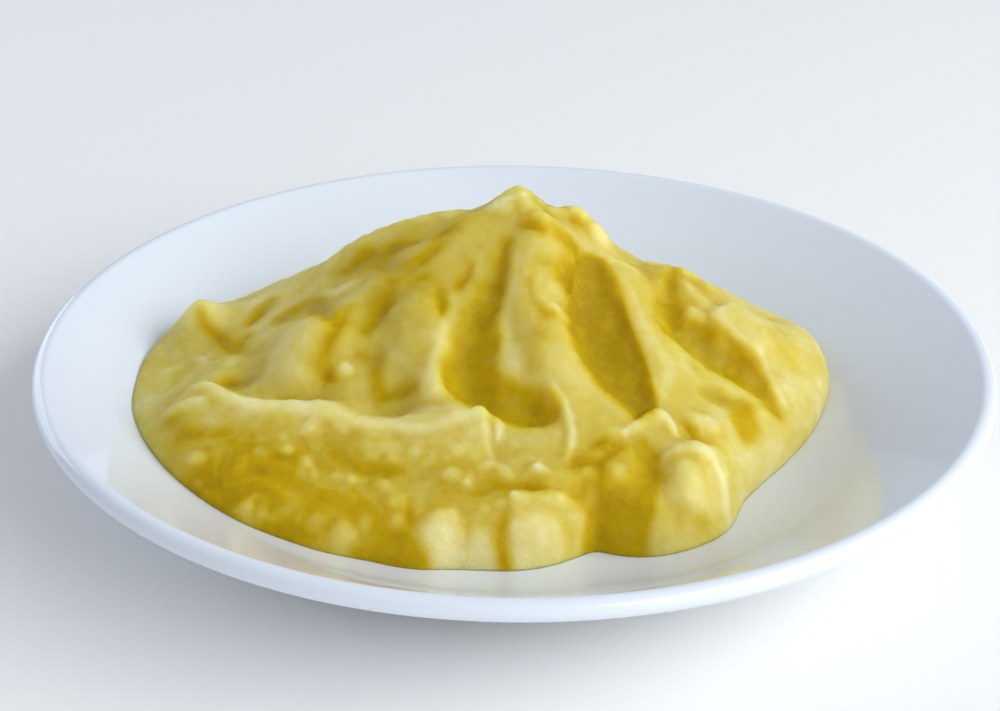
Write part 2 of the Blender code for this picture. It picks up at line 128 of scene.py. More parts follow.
# Each tear, slit or pit: its path with the half width at every point, its depth, and how much deep
# yellow is painted inside it as shade.
TEARS = (
    # left lobe: the bent crevice, then the slit on the shoulder beside it
    (((-76, 16, 0.5), (-72, 12, 1.0), (-68.5, 7, 1.6), (-66, 3.5, 2.2), (-63, 8, 0.8)), 1.5, 1.0),
    (((-63, 12.5, 1.2), (-61, 16, 2.2), (-59, 20, 1.6)), 1.3, 0.85),
    # shoulder: bow-shaped tear, long slit, pit, slanting slit
    (((-55.5, 10.5, 1.4), (-52, 11, 2.8), (-48, 11.5, 3.0), (-45.5, 6.5, 2.5), (-43.5, -0.5, 2.0),
      (-42.8, -3, 0.9)), 1.3, 1.0),
    (((-38, 2, 0.7), (-40, -3, 1.5), (-42, -8, 1.5), (-44.8, -13, 0.7)), 1.5, 1.0),
    (((-43.2, -15.5, 0.7), (-42, -15.7, 1.4), (-40.5, -16.5, 0.7)), 1.3, 1.0),
    (((-27.8, 2, 1.2), (-30, 0.5, 2.1), (-32, -2, 1.9), (-34.2, -5, 0.9)), 1.4, 1.0),
    # behind them
    (((-41.5, 19.5, 0.9), (-39, 19, 1.9), (-35.5, 20.5, 3.0), (-32.5, 19, 1.4), (-30.8, 16, 0.7)),
     1.4, 1.0),
    (((-30.8, 20, 1.1), (-28.5, 20.5, 2.2), (-26, 20, 1.5), (-23, 19, 0.9)), 1.1, 0.9),
    (((-30.5, 10.5, 0.7), (-29.5, 7.5, 1.3), (-28.5, 5, 0.7)), 1.0, 0.9),
    (((-28.5, 6.5, 0.7), (-25, 8, 1.1), (-22, 10, 1.0), (-19, 12.5, 0.8), (-16, 15.5, 0.6)),
     1.0, 0.7),
    (((-19.3, 16.8, 1.2), (-17.5, 18, 2.2), (-15.3, 19, 1.9), (-13, 21, 0.9)), 1.2, 0.95),
    (((-24, 6, 0.6), (-22, 6.2, 1.0), (-20, 6, 0.6)), 0.7, 0.8),
    (((-34, 18, 1.2), (-30, 14, 2.3), (-26.5, 10, 2.0), (-22.5, 11, 1.5), (-19, 13.5, 1.0)),
     0.9, 0.85),
    # on the ridge line and in the dish
    (((-35.5, -11, 1.0), (-32.5, -12, 2.0), (-31.5, -15.5, 2.2), (-31.5, -19, 1.2)), 0.7, 0.75),
    (((-68, -10, 0.7), (-66, -10, 1.3), (-64, -10, 0.8)), 1.1, 0.9),
    (((-31, -21.5, 0.7), (-28, -21, 1.4), (-25, -21, 1.5), (-21.5, -22.3, 0.6)), 1.1, 0.95),
    # above and beside the first groove
    (((-17, 2, 1.0), (-17, -1.5, 1.9), (-17, -4.5, 1.2)), 1.4, 1.0),
    (((-10.3, 8.5, 1.0), (-11.5, 5.5, 1.6), (-13, 3, 1.1)), 1.3, 1.0),
    # summit
    (((1.8, 18.5, 0.8), (4, 17, 1.5), (6.3, 15.5, 0.9)), 1.1, 0.85),
    (((9.3, 16.5, 1.0), (11, 17, 2.6), (13.3, 17, 1.7)), 1.3, 1.0),
    (((13.3, 25, 0.6), (15, 25, 1.0), (16.7, 25, 0.6)), 0.7, 0.7),
    (((13, 11.5, 1.0), (12, 8, 2.0), (11.5, 4.5, 2.5), (13, 2, 1.1)), 1.8, 1.0),
    (((14.5, 17, 0.7), (14.6, 14, 0.9), (15, 11, 0.7)), 1.0, 1.0),
    (((3.5, 2, 0.7), (3.4, -1.5, 0.9), (4, -4, 0.9), (5.5, -6, 0.8)), 0.7, 0.5),
    (((5.5, -6, 0.7), (7, -7, 1.1), (8.5, -7, 0.6)), 1.0, 0.9),
    (((4, -11.5, 0.8), (6, -12, 1.2), (8, -13, 0.7)), 0.5, 0.4),
    (((5, 6.5, 1.0), (6.5, 7, 1.2), (8, 8, 0.7)), 0.5, 0.4),
    # right lobe
    (((53, -11.5, 1.2), (52.6, -14.5, 2.8), (52.2, -17.5, 3.0), (51.8, -20.5, 1.6)), 1.2, 1.0),
    (((64, 15, 2.6), (63.5, 10, 3.6), (64.5, 6, 2.6)), 0.6, 0.4),
    (((37, -25, 0.8), (38.5, -26, 1.5), (39.5, -28, 1.1), (41.5, -30, 0.7)), 1.0, 0.9),
    # broken wall in front
    (((12.8, -42, 0.8), (14.5, -41, 1.6), (17, -40.5, 1.5), (19, -40, 1.1), (21.5, -38, 0.9),
      (24, -36, 0.6)), 1.3, 1.0),
    (((18.5, -41.5, 0.9), (18.5, -43.5, 0.9), (18.5, -45.5, 0.6)), 0.9, 0.9),
    (((16.3, -36.5, 0.7), (18, -35.5, 1.5), (20, -34.5, 0.9)), 1.1, 1.0),
    (((20.3, -35.5, 0.9), (22, -35.5, 1.1), (23.7, -34.3, 0.7)), 0.9, 0.85),
    (((17, -48.5, 0.7), (18.7, -48.5, 1.1), (20.5, -48.3, 0.7)), 0.9, 0.85),
    # bow-tie slit over the slab, its thin line and the hole at its end
    (((-8.2, -48.7, 0.8), (-7, -48.2, 1.7), (-5, -48, 1.8), (-3, -48, 1.1), (-0.8, -48, 0.4)),
     1.3, 1.0),
    (((-0.8, -48, 0.4), (1, -48.1, 1.1), (2.7, -48.3, 1.3), (4.5, -48.5, 1.1), (6.2, -48.5, 0.5)),
     1.1, 1.0),
    (((6, -48.6, 0.5), (8.5, -48.8, 0.6), (11, -48.5, 0.6)), 0.6, 0.7),
    (((11.2, -48.4, 0.7), (13, -48, 1.6), (14.5, -46.8, 1.4), (16.2, -45.4, 0.5)), 1.3, 1.0),
    (((-16, -48.7, 0.5), (-12.5, -48.7, 0.7), (-8.3, -48.9, 0.7)), 0.5, 0.5),
    # beside the round lump of the slab
    (((-1.3, -53.5, 0.5), (-2.4, -55.5, 0.9), (-2.6, -57.5, 1.0), (-2, -59, 0.8), (0, -60.5, 0.6)),
     1.0, 0.95),
    # apron
    (((-77, -26.5, 0.7), (-74, -30, 1.3), (-71.5, -32, 1.5), (-67.5, -32.7, 0.9)), 0.7, 0.8),
    (((-66, -33, 0.8), (-64, -33.5, 1.2), (-62, -34, 0.7)), 0.6, 0.7),
    (((-63, -38, 0.7), (-63, -39.7, 1.2), (-63.5, -41.7, 0.7)), 0.6, 0.7),
    (((-61, -44, 1.0), (-57, -43, 1.9), (-52.5, -43.3, 2.4), (-48.5, -46.3, 2.5),
      (-44, -48.3, 2.0), (-39.5, -49.7, 1.9), (-36, -51.7, 1.1)), 0.8, 0.85),
    (((-35.2, -52, 0.8), (-32.5, -51.7, 1.7), (-29.3, -53.5, 0.9)), 0.8, 0.85),
    (((-39.7, -38.7, 0.8), (-37.5, -40, 1.6), (-34.5, -42.5, 1.5), (-30, -43.9, 1.1),
      (-23.5, -44, 0.5)), 0.9, 0.95),
    (((-22.5, -50, 0.7), (-22.5, -53, 1.1), (-22, -56, 0.9)), 0.6, 0.6),
    # gaps at the foot
    (((-28, -57, 1.2), (-25.5, -58.3, 2.0), (-23, -60, 2.6), (-20.5, -61.5, 2.2)), 1.3, 1.0),
    (((-34, -58.2, 0.7), (-31, -58.7, 1.3), (-28, -59.5, 2.0), (-25, -60.5, 2.0)), 1.0, 1.0),
)
# Each raised lip or crest: its path with the half width at every point, and its height.
LIPS = (
    (((-73, -15, 1.6), (-67, -22, 2.0), (-60, -27, 2.2), (-50, -29, 2.2), (-40, -30.5, 2.2),
      (-31, -33.5, 1.8), (-22, -35, 1.6), (-13, -32.5, 1.8), (-8, -31.5, 1.6)), 0.9),
    (((-9, -31.8, 1.6), (-5.5, -31.3, 1.9), (-3.7, -33, 1.5), (-3.8, -36, 0.9)), 1.8),
    (((8.5, -25, 2.0), (11, -28.5, 1.8), (12, -33.5, 1.5), (12.2, -40, 1.2)), 1.4),
    (((24.5, -32.5, 1.2), (28, -29, 1.8), (31.5, -26.3, 2.2), (33.7, -27, 1.9), (35.5, -30, 1.0)),
     1.8),
    (((0, -50.5, 1.4), (4.5, -50.5, 1.7), (8.5, -50.5, 1.9), (12, -50.5, 1.9), (14.7, -51, 1.5),
      (14.5, -53.5, 1.3)), 0.9),
    (((42, 21, 2.2), (45.5, 14.5, 2.4), (49, 8, 2.0), (53.3, 4, 1.8), (57.5, -0.5, 1.8),
      (61.5, -6, 1.4)), 0.6),
    (((32, -38, 1.4), (36, -36, 1.6), (41.5, -36.5, 1.8), (45, -39, 1.8), (45.5, -44, 1.5)), 0.9),
    (((25.5, 11, 1.8), (27.5, 5, 2.3), (31, -4, 2.5), (34.5, -11, 2.5), (33.5, -18, 1.4)), 0.3),
    (((-0.3, 9, 1.4), (-1.5, 2, 2.0), (-3, -4, 2.2), (-3.3, -10, 2.0), (0, -17, 2.4)), 0.3),
    (((-13.5, 3.5, 1.4), (-15.5, -6, 1.9), (-17.5, -16, 2.2), (-16.5, -24, 1.8)), 0.35),
)
# Lumps: centre, reach along X and Y, and rise.
LUMPS = (
    # summit
    ((0.5, 30), (5.0, 5.0), 0.8),
    ((-3.5, 24.5), (4.5, 3.2), 1.2),
    ((3.5, 24), (3.0, 2.6), 0.5),
    ((10, 27), (3.2, 3.0), 0.9),
    ((16, 28), (3.6, 3.0), 1.4),
    ((20.5, 24.5), (3.2, 3.0), 1.2),
    ((22, 19), (2.6, 2.6), 0.5),
    ((-8, 29), (2.6, 2.4), 0.5),
    ((-15, 27.5), (3.6, 2.6), 0.9),
    ((-23, 28), (3.0, 2.6), 0.5),
    ((-27.5, 29), (2.6, 2.4), 0.5),
    ((34, 33), (3.2, 3.0), 1.2),
    ((42, 27), (3.4, 3.0), 1.2),
    ((47, 24), (2.6, 2.4), 0.5),
    # shoulders and the right lobe
    ((-40, 12), (5.0, 3.4), 1.0),
    ((-44.5, 13.5), (3.0, 2.6), 0.5),
    ((42.5, 10), (3.4, 3.6), 1.2),
    ((48, 4), (3.2, 3.2), 1.0),
    ((9, -6), (4.0, 3.0), 0.7),
    ((42, -23), (5.0, 3.6), 1.0),
    ((46.5, -12), (6.0, 4.0), -1.2),
    # front slab and its neighbours
    ((-15.5, -57), (5.6, 4.6), 1.5),
    ((5.5, -56), (6.6, 4.6), 1.5),
    ((-7.5, -57.5), (2.6, 3.6), 0.4),
    ((-36, -56.5), (3.8, 3.4), 1.8),
    ((-42.5, -53.5), (2.8, 1.6), 0.7),
    ((-57.5, -50), (2.0, 2.0), 0.7),
    ((-54.5, -51.5), (2.2, 1.6), 0.5),
    ((-51.5, -53), (1.8, 1.4), 0.4),
    ((-46, -53), (1.4, 1.2), 0.4),
    ((-31.5, -54.5), (2.0, 1.8), 0.5),
    ((-25, -50.5), (2.4, 3.0), 0.6),
    ((-25, -55), (1.8, 2.0), 0.5),
    ((-21, -38.5), (2.6, 2.0), 0.4),
    ((-12.5, -39.5), (2.6, 2.0), 0.4),
    ((-17.5, -41.5), (1.6, 1.4), 0.3),
    ((-13.5, -45), (3.2, 2.2), 0.8),
    ((-4.5, -42.5), (2.6, 1.8), 0.4),
    ((5.5, -44), (3.4, 2.0), 0.7),
    ((8.5, -45), (2.4, 1.6), 0.3),
    ((-32.5, -38.5), (2.4, 1.8), 0.4),
    ((-28, -39.5), (3.0, 1.8), 0.4),
    ((-49, -28.5), (2.6, 2.6), 0.4),
    ((-69, -38), (3.6, 2.2), 0.9),
    ((-73, -24.5), (5.5, 2.6), 0.9),
    ((20.6, -36), (1.4, 1.2), 0.8),
    ((22, -43), (2.2, 3.0), 0.5),
    ((20.5, -48), (2.6, 1.2), 0.5),
    ((16, -44), (1.8, 2.4), 0.4),
    ((36.5, -45), (5.0, 7.0), 1.2),
    ((42, -35), (4.0, 3.0), 0.8),
    ((-38.5, -15), (2.2, 2.0), 1.0),
)
# Where the mash is a deeper yellow (plus) or paler (minus): centre, reach along X and Y, shift;
# the deeper patches on the left apron are partly painted shade, and the paler bands along the
# front foot are painted light.
TINTS_AND_PAINTED_LIGHT = (
    ((-28, 3), (11, 9), 0.20),
    ((-20, -4), (6, 14), 0.10),
    ((-47, -8), (10, 10), 0.12),
    ((30, 8), (7, 14), 0.15),
    ((-45, 8), (12, 10), 0.12),
    ((-53, -29), (13, 5), -0.15),
    ((-84, -8), (6, 16), -0.15),
    ((-75, -20), (8, 8), 0.15),
    ((-58, -43), (24, 9), 0.22),
    ((-47, -54), (26, 5), 0.15),
    ((-12, -61), (16, 4), -0.18),
    ((-66, -46), (12, 5), 0.22),
    ((-49, -55), (12, 4), 0.28),
    ((0, -61), (14, 5), -0.22),
    ((64, -34), (9, 14), -0.18),
    ((-2, 27), (8, 5), -0.12),
    ((16, 25), (8, 6), -0.15),
    ((-66, 20), (12, 8), -0.12),
    ((-12, -42), (12, 6), -0.08),
    ((70, 2), (12, 26), -0.14),
    ((54, -26), (16, 12), -0.10),
    ((46, -42), (12, 8), -0.12),
    ((36, -40), (7, 8), 0.12),
    ((45, -12), (14, 10), 0.10),
    ((10, 0), (26, 34), 0.08),
    ((42, 14), (14, 14), 0.16),
    ((-25, 20), (24, 10), 0.08),
)
# How lumpy the mash is around some places: centre, reach along X and Y, and strength.
LUMPY = (
    ((-55, -40), (30, 14), 1.0),
    ((-15, -48), (34, 11), 1.0),
    ((-78, -5), (14, 22), 0.7),
    ((5, 30), (24, 9), 0.9),
    ((-35, 24), (24, 8), 0.6),
    ((18, -40), (12, 12), 0.8),
    ((45, -38), (18, 16), 0.5),
    ((40, 26), (14, 7), 0.6),
    ((68, 0), (14, 20), 0.4),
)

# The plate: how finely each stretch of its section is stepped, and the rounding of its foot.
FLOOR_RINGS = 6
BEND_POINTS = 24
LIP_POINTS = 22
BASE_POINTS = 20
FOOT_POINTS = 5
PLATE_STEPS = 240
FOOT_EDGE = 0.0012

# The heap: its plain form, and how far it sinks into the plate so that no gap shows.
SUMMIT = (1.0, 31.0)
SUMMIT_ROUNDING = 0.006
FLANK_HOLLOW = 1.15
SINK = 0.2
SMOOTHINGS = 2
# Steps along the curves, and how round the sections of strokes and lumps are.
CURVE_STEP = 1.5
STROKE_STEP = 0.4
GROOVE_SOFTNESS = 1.3
TEAR_SOFTNESS = 1.5
LUMP_SOFTNESS = 1.3
TEAR_DEPTH = 0.6
# Wandering of every stroke's edge: shift and size of the waves.
BROAD_BEND = (0.9, 9.0)
FINE_BEND = (0.4, 3.0)
# Unevenness pushed out along the skin's normals: height and size.
BROAD_PUSH = (0.45, 8.0)
FINE_PUSH = (0.24, 2.0)
BIG_CURDS = (0.8, 6.0)
SMALL_CURDS = (0.22, 3.4)
SWIRL = (1.2, 4.0)

# Tone runs from 0, palest, to 1, deepest; the shares are added to it or taken from it.
OPEN_TONE = 0.38
BROAD_TONE = 0.08
# Painted shade deepens the tone between curds; painted highlight makes curd tops paler.
LUMPY_SHADE = 0.24
BIG_CURD_HIGHLIGHT = 0.25
SMALL_CURD_HIGHLIGHT = 0.30
# Paler painted highlight on raised lips and lumps.
LIP_HIGHLIGHT = 0.15
LUMP_HIGHLIGHT = 0.2
# Tone of the deep yellow painted as shade inside the tears.
TEAR_SHADE_TONE = 0.86
# Painted shade deepens the tone where the skin lies below its blurred self, and painted highlight
# pales it on bumps: share and reach in cells, then the limits of both.
HOLLOW_SHADE = ((0.20, 2), (0.06, 7))
HOLLOW_SHADE_LIMITS = (-0.15, 0.3)
TONE_STOPS = (0.0, 0.45, 0.8, 1.0)
# How far painted tone reaches past a stroke's edge, as painted shade in cuts and painted highlight
# on lips, and over which share of the way in the painted shade fades in.
PAINTED_LIGHT_MARGIN = 0.8
GROOVE_SHADE_FADE = 0.3
TEAR_SHADE_FADE = 0.2
# Light spreads this far in the mash, less near the thin foot.
FOOT_REACH = 12.0
LIGHT_SPREAD = 0.018
FOOT_LIGHT_SPREAD = 0.003

CAMERA_LENS = 74.8
CAMERA_AIM = (-0.00333, -0.00354, 0.03048)
CAMERA_ROLL = math.radians(0.41)
LIGHT_AIM = (0, 0, 0.02)
# Name, place, size, power and colour of each light.
LIGHTS = (
    ("window", (0.96, -0.51, 0.74), (1.7, 0.9), 18.5, (0.93, 0.98, 1.0)),
    ("back_left", (-0.91, 0.91, 0.25), (0.9, 0.9), 5.5, (0.74, 0.86, 1.0)),
)
WORLD_COLOUR = (0.84, 0.89, 1.0)
WORLD_STRENGTH = 0.49


# ---- sizes and colours a user would change ----

class PlateSettings(PropertyGroup):
    radius: FloatProperty(name="Radius", description="Outer radius of the plate", unit="LENGTH",
                          default=PLATE_BOX[1][0])
    floor_radius: FloatProperty(name="Floor radius", description="Radius of the flat floor",
                                unit="LENGTH", default=0.050)
    floor_top: FloatProperty(name="Floor height", description="Height of the floor's upper side",
                             unit="LENGTH", default=0.007)
    bend_radius: FloatProperty(name="Bend radius", description="Radius of the bend into the wall",
                               unit="LENGTH", default=0.058)
    wall_slope: FloatProperty(name="Wall slope", description="Slope of the flared wall",
                              subtype="ANGLE", default=math.radians(33.0))
    wall_thickness: FloatProperty(name="Wall thickness", description="Thickness of the porcelain",
                                  unit="LENGTH", default=0.0039)
    lip_radius: FloatProperty(name="Lip radius", description="Radius of the rolled lip",
                              unit="LENGTH", default=0.00235)
    foot_outer: FloatProperty(name="Foot outer radius", description="Outer radius of the foot",
                              unit="LENGTH", default=0.058)
    foot_inner: FloatProperty(name="Foot inner radius", description="Inner radius of the foot",
                              unit="LENGTH", default=0.052)
    glaze: FloatVectorProperty(name="Glaze", description="Colour of the glazed porcelain",
                               subtype="COLOR", default=(0.80, 0.84, 0.90))


class HeapSettings(PropertyGroup):
    height: FloatProperty(name="Height", description="Height of the summit above the table",
                          unit="LENGTH", default=HEAP_BOX[1][2] - 0.0009)
    edge_width: FloatProperty(name="Edge width", description="Width of the rounded edge",
                              unit="LENGTH", default=0.009)
    cells: IntProperty(name="Cells", description="Cells along one side of the skin", default=300)
    # Palest colour: the mash's own pale lumps and the painted highlight on raised parts.
    cream_and_highlight: FloatVectorProperty(name="Cream", description="Colour of the palest lumps",
                               subtype="COLOR", default=(0.80, 0.72, 0.37))
    butter: FloatVectorProperty(name="Butter", description="Colour of the open surface",
                                subtype="COLOR", default=(0.67, 0.53, 0.095))
    # The two deepest colours of the ramp are painted shade in the hollows and tears.
    gold_shade: FloatVectorProperty(name="Gold", description="Colour of the hollows",
                              subtype="COLOR", default=(0.57, 0.375, 0.0005))
    amber_shade: FloatVectorProperty(name="Amber", description="Colour of the deepest tears",
                               subtype="COLOR", default=(0.43, 0.27, 0.0003))


class StageSettings(PropertyGroup):
    floor: FloatVectorProperty(name="Floor colour", description="Colour of the plain floor",
                               subtype="COLOR", default=(0.97, 0.95, 0.92))
    distance: FloatProperty(name="Camera distance", description="From the camera to its aim",
                            unit="LENGTH", default=0.48)
    elevation: FloatProperty(name="Camera elevation", description="Angle above the table",
                             subtype="ANGLE", default=math.radians(27.07))


class SideSettings(PropertyGroup):
    plate: PointerProperty(type=PlateSettings)
    heap: PointerProperty(type=HeapSettings)
    stage: PointerProperty(type=StageSettings)


def settings():
    return bpy.context.scene.mash_side


# ---- helpers for meshes and materials ----

def finish_piece(bm, name, material):
    """Turn a bmesh into a smooth-shaded object at the origin."""
    mesh = bpy.data.meshes.new(name)
    bm.to_mesh(mesh)
    bm.free()
    mesh.shade_smooth()
    mesh.materials.append(material)
    piece = bpy.data.objects.new(name, mesh)
    bpy.context.scene.collection.objects.link(piece)
    return piece


def new_material(name):
    material = bpy.data.materials.new(name)
    material.use_nodes = True
    tree = material.node_tree
    return material, tree, tree.nodes["Principled BSDF"]


def add_node(tree, kind, **values):
    """Add a node, setting attributes by name and sockets by name with _ for a space."""
    node = tree.nodes.new(kind)
    for key, value in values.items():
        if hasattr(node, key):
            setattr(node, key, value)
        else:
            node.inputs[key.replace("_", " ")].default_value = value
    return node


def speckle_group():
    """Node group: cloudy mask and grainy height at two scales, on object coordinates."""
    name = "cloud_and_grain"
    if name in bpy.data.node_groups:
        return bpy.data.node_groups[name]
    group = bpy.data.node_groups.new(name, "ShaderNodeTree")
    for socket, default in (("Cloud Scale", 60.0), ("Grain Scale", 600.0)):
        made = group.interface.new_socket(socket, in_out="INPUT", socket_type="NodeSocketFloat")
        made.default_value = default
    for socket in ("Cloud", "Grain"):
        group.interface.new_socket(socket, in_out="OUTPUT", socket_type="NodeSocketFloat")
    start = group.nodes.new("NodeGroupInput")
    end = group.nodes.new("NodeGroupOutput")
    place = group.nodes.new("ShaderNodeTexCoord")
    for scale, out, detail in (("Cloud Scale", "Cloud", 3.0), ("Grain Scale", "Grain", 4.0)):
        texture = add_node(group, "ShaderNodeTexNoise", Detail=detail, Roughness=0.55)
        group.links.new(place.outputs["Object"], texture.inputs["Vector"])
        group.links.new(start.outputs[scale], texture.inputs["Scale"])
        group.links.new(texture.outputs["Fac"], end.inputs[out])
    return group


def place_speckle(tree, cloud, grain):
    node = tree.nodes.new("ShaderNodeGroup")
    node.node_tree = speckle_group()
    node.inputs["Cloud Scale"].default_value = cloud
    node.inputs["Grain Scale"].default_value = grain
    return node


def cloud_colour(tree, shader, speckle, colour, shade):
    """Let the base colour drift between a colour and the same one a little darker."""
    tint = add_node(tree, "ShaderNodeMix", data_type="RGBA")
    tint.inputs["A"].default_value = (*[c * shade for c in colour], 1.0)
    tint.inputs["B"].default_value = (*colour, 1.0)
    tree.links.new(speckle.outputs["Cloud"], tint.inputs["Factor"])
    tree.links.new(tint.outputs["Result"], shader.inputs["Base Color"])


def porcelain_material():
    """White glaze, very slightly uneven, with a faint cloudiness."""
    material, tree, shader = new_material("porcelain_glaze")
    speckle = place_speckle(tree, 25.0, 160.0)
    cloud_colour(tree, shader, speckle, settings().plate.glaze, 0.97)
    sheen = add_node(tree, "ShaderNodeMapRange", To_Min=0.07, To_Max=0.13)
    tree.links.new(speckle.outputs["Cloud"], sheen.inputs["Value"])
    tree.links.new(sheen.outputs["Result"], shader.inputs["Roughness"])
    bump = add_node(tree, "ShaderNodeBump", Strength=0.04, Distance=0.0004)
    tree.links.new(speckle.outputs["Cloud"], bump.inputs["Height"])
    tree.links.new(bump.outputs["Normal"], shader.inputs["Normal"])
    shader.inputs["IOR"].default_value = 1.52
    return material


def mash_material():
    """Mash from pale lumps with painted highlight to deep yellow hollows with painted shade, with
    light passing into it.
    """
    colours = settings().heap
    material, tree, shader = new_material("mash_cream")
    speckle = place_speckle(tree, 160.0, 900.0)
    tone = add_node(tree, "ShaderNodeAttribute", attribute_name="tone")
    mottle = add_node(tree, "ShaderNodeMapRange", From_Min=0.3, From_Max=0.7, To_Min=-0.10,
                      To_Max=0.10)
    tree.links.new(speckle.outputs["Cloud"], mottle.inputs["Value"])
    total = add_node(tree, "ShaderNodeMath", operation="ADD", use_clamp=True)
    tree.links.new(tone.outputs["Fac"], total.inputs[0])
    tree.links.new(mottle.outputs["Result"], total.inputs[1])
    ramp = tree.nodes.new("ShaderNodeValToRGB")
    stops = ramp.color_ramp.elements
    for place in TONE_STOPS[1:-1]:
        stops.new(place)
    paints = (colours.cream_and_highlight, colours.butter, colours.gold_shade, colours.amber_shade)
    for stop, place, colour in zip(stops, TONE_STOPS, paints):
        stop.position = place
        stop.color = (*colour, 1.0)
    tree.links.new(total.outputs["Value"], ramp.inputs["Fac"])
    tree.links.new(ramp.outputs["Color"], shader.inputs["Base Color"])
    gloss = add_node(tree, "ShaderNodeMapRange", To_Min=0.38, To_Max=0.55)
    tree.links.new(speckle.outputs["Grain"], gloss.inputs["Value"])
    tree.links.new(gloss.outputs["Result"], shader.inputs["Roughness"])
    bump = add_node(tree, "ShaderNodeBump", Strength=0.45, Distance=0.0008)
    tree.links.new(speckle.outputs["Grain"], bump.inputs["Height"])
    tree.links.new(bump.outputs["Normal"], shader.inputs["Normal"])
    shader.inputs["Subsurface Weight"].default_value = 1.0
    shader.inputs["Subsurface Radius"].default_value = (1.0, 0.75, 0.12)
    foot = add_node(tree, "ShaderNodeAttribute", attribute_name="foot")
    spread = add_node(tree, "ShaderNodeMapRange", To_Min=LIGHT_SPREAD, To_Max=FOOT_LIGHT_SPREAD)
    tree.links.new(foot.outputs["Fac"], spread.inputs["Value"])
    tree.links.new(spread.outputs["Result"], shader.inputs["Subsurface Scale"])
    shader.inputs["Specular IOR Level"].default_value = 0.12
    return material


# ---- the plate ----

def arc(centre, radius, start, end, count):
    """Points on an arc; angles in radians from +X, both ends included."""
    turns = [start + (end - start) * k / (count - 1) for k in range(count)]
    return [(centre[0] + radius * math.cos(a), centre[1] + radius * math.sin(a)) for a in turns]


def bend_point(sizes, radius):
    """Where the bend of that radius turns into the straight wall."""
    height = sizes.floor_top + sizes.bend_radius
    x = sizes.floor_radius + radius * math.sin(sizes.wall_slope)
    return x, height - radius * math.cos(sizes.wall_slope)


def lip_centre(sizes):
    """The rolled lip touches the inner wall line and reaches the plate's full radius."""
    x = sizes.radius - sizes.lip_radius
    bend_x, bend_z = bend_point(sizes, sizes.bend_radius)
    touch_x = x - sizes.lip_radius * math.sin(sizes.wall_slope)
    touch_z = bend_z + (touch_x - bend_x) * math.tan(sizes.wall_slope)
    return x, touch_z - sizes.lip_radius * math.cos(sizes.wall_slope)


def plate_profile(sizes):
    """The plate's section, from the middle of the floor over the lip to the middle of the base."""
    bend_centre = (sizes.floor_radius, sizes.floor_top + sizes.bend_radius)
    down = -math.pi / 2
    outer = sizes.bend_radius + sizes.wall_thickness
    normal = sizes.wall_slope + math.pi / 2
    wall_offset = sizes.wall_thickness - sizes.lip_radius
    lip_end = normal - math.pi - math.acos(wall_offset / sizes.lip_radius)
    foot_turn = math.asin((sizes.foot_outer - sizes.floor_radius) / outer)
    base = sizes.floor_top - sizes.wall_thickness
    points = [(sizes.floor_radius * k / FLOOR_RINGS, sizes.floor_top)
              for k in range(FLOOR_RINGS)]
    points += arc(bend_centre, sizes.bend_radius, down, down + sizes.wall_slope, BEND_POINTS)
    points += arc(lip_centre(sizes), sizes.lip_radius, normal, lip_end, LIP_POINTS)
    points += arc(bend_centre, outer, down + sizes.wall_slope, down + foot_turn, BASE_POINTS)
    points += arc((sizes.foot_outer - FOOT_EDGE, FOOT_EDGE), FOOT_EDGE, 0.0, down, FOOT_POINTS)
    points += arc((sizes.foot_inner + FOOT_EDGE, FOOT_EDGE), FOOT_EDGE, down, down * 2,
                  FOOT_POINTS)
    points += [(sizes.foot_inner, base), (sizes.foot_inner / 2, base), (0.0, base)]
    return points


def make_plate():
    sizes = settings().plate
    bm = bmesh.new()
    verts = [bm.verts.new((x, 0.0, z)) for x, z in plate_profile(sizes)]
    edges = [bm.edges.new(pair) for pair in zip(verts, verts[1:])]
    bmesh.ops.spin(bm, geom=verts + edges, axis=(0, 0, 1), cent=(0, 0, 0), angle=math.tau,
                   steps=PLATE_STEPS, use_merge=True)
    bmesh.ops.remove_doubles(bm, verts=bm.verts, dist=0.00002)
    bmesh.ops.recalc_face_normals(bm, faces=bm.faces)
    plate = finish_piece(bm, "porcelain_plate", porcelain_material())
    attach(plate, "root")
    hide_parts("plate")


def plate_surface(radius):
    """Height in mm of the plate's inner surface at a distance in mm from its axis."""
    sizes = settings().plate
    bend_end, bend_height = bend_point(sizes, sizes.bend_radius)
    inside = np.clip(radius * MM - sizes.floor_radius, 0, bend_end - sizes.floor_radius)
    curved = sizes.floor_top + sizes.bend_radius - np.sqrt(sizes.bend_radius ** 2 - inside ** 2)
    straight = bend_height + (radius * MM - bend_end) * math.tan(sizes.wall_slope)
    return np.where(radius * MM > bend_end, straight, curved) / MM


# ---- the heap ----

def smoothstep(low, high, value):
    share = np.clip((value - low) / (high - low), 0, 1)
    return share * share * (3 - 2 * share)


def round_the_compass(bearing, table, column):
    """Smooth periodic curve through one column of a table whose first column is a bearing."""
    rows = np.array(table, dtype=float)
    turns = np.concatenate([rows[-2:, 0] - 360, rows[:, 0], rows[:3, 0] + 360])
    values = np.concatenate([rows[-2:, column], rows[:, column], rows[:3, column]])
    wrapped = np.mod(bearing, 360)
    wrapped = np.where(wrapped < rows[0, 0], wrapped + 360, wrapped)
    k = np.clip(np.searchsorted(turns, wrapped, side="right") - 1, 1, len(turns) - 3)
    span = turns[k + 1] - turns[k]
    t = (wrapped - turns[k]) / span
    leave = (values[k + 1] - values[k - 1]) / (turns[k + 1] - turns[k - 1]) * span
    arrive = (values[k + 2] - values[k]) / (turns[k + 2] - turns[k]) * span
    near = (2 * t ** 3 - 3 * t ** 2 + 1) * values[k] + (t ** 3 - 2 * t ** 2 + t) * leave
    return near + (3 * t ** 2 - 2 * t ** 3) * values[k + 1] + (t ** 3 - t ** 2) * arrive


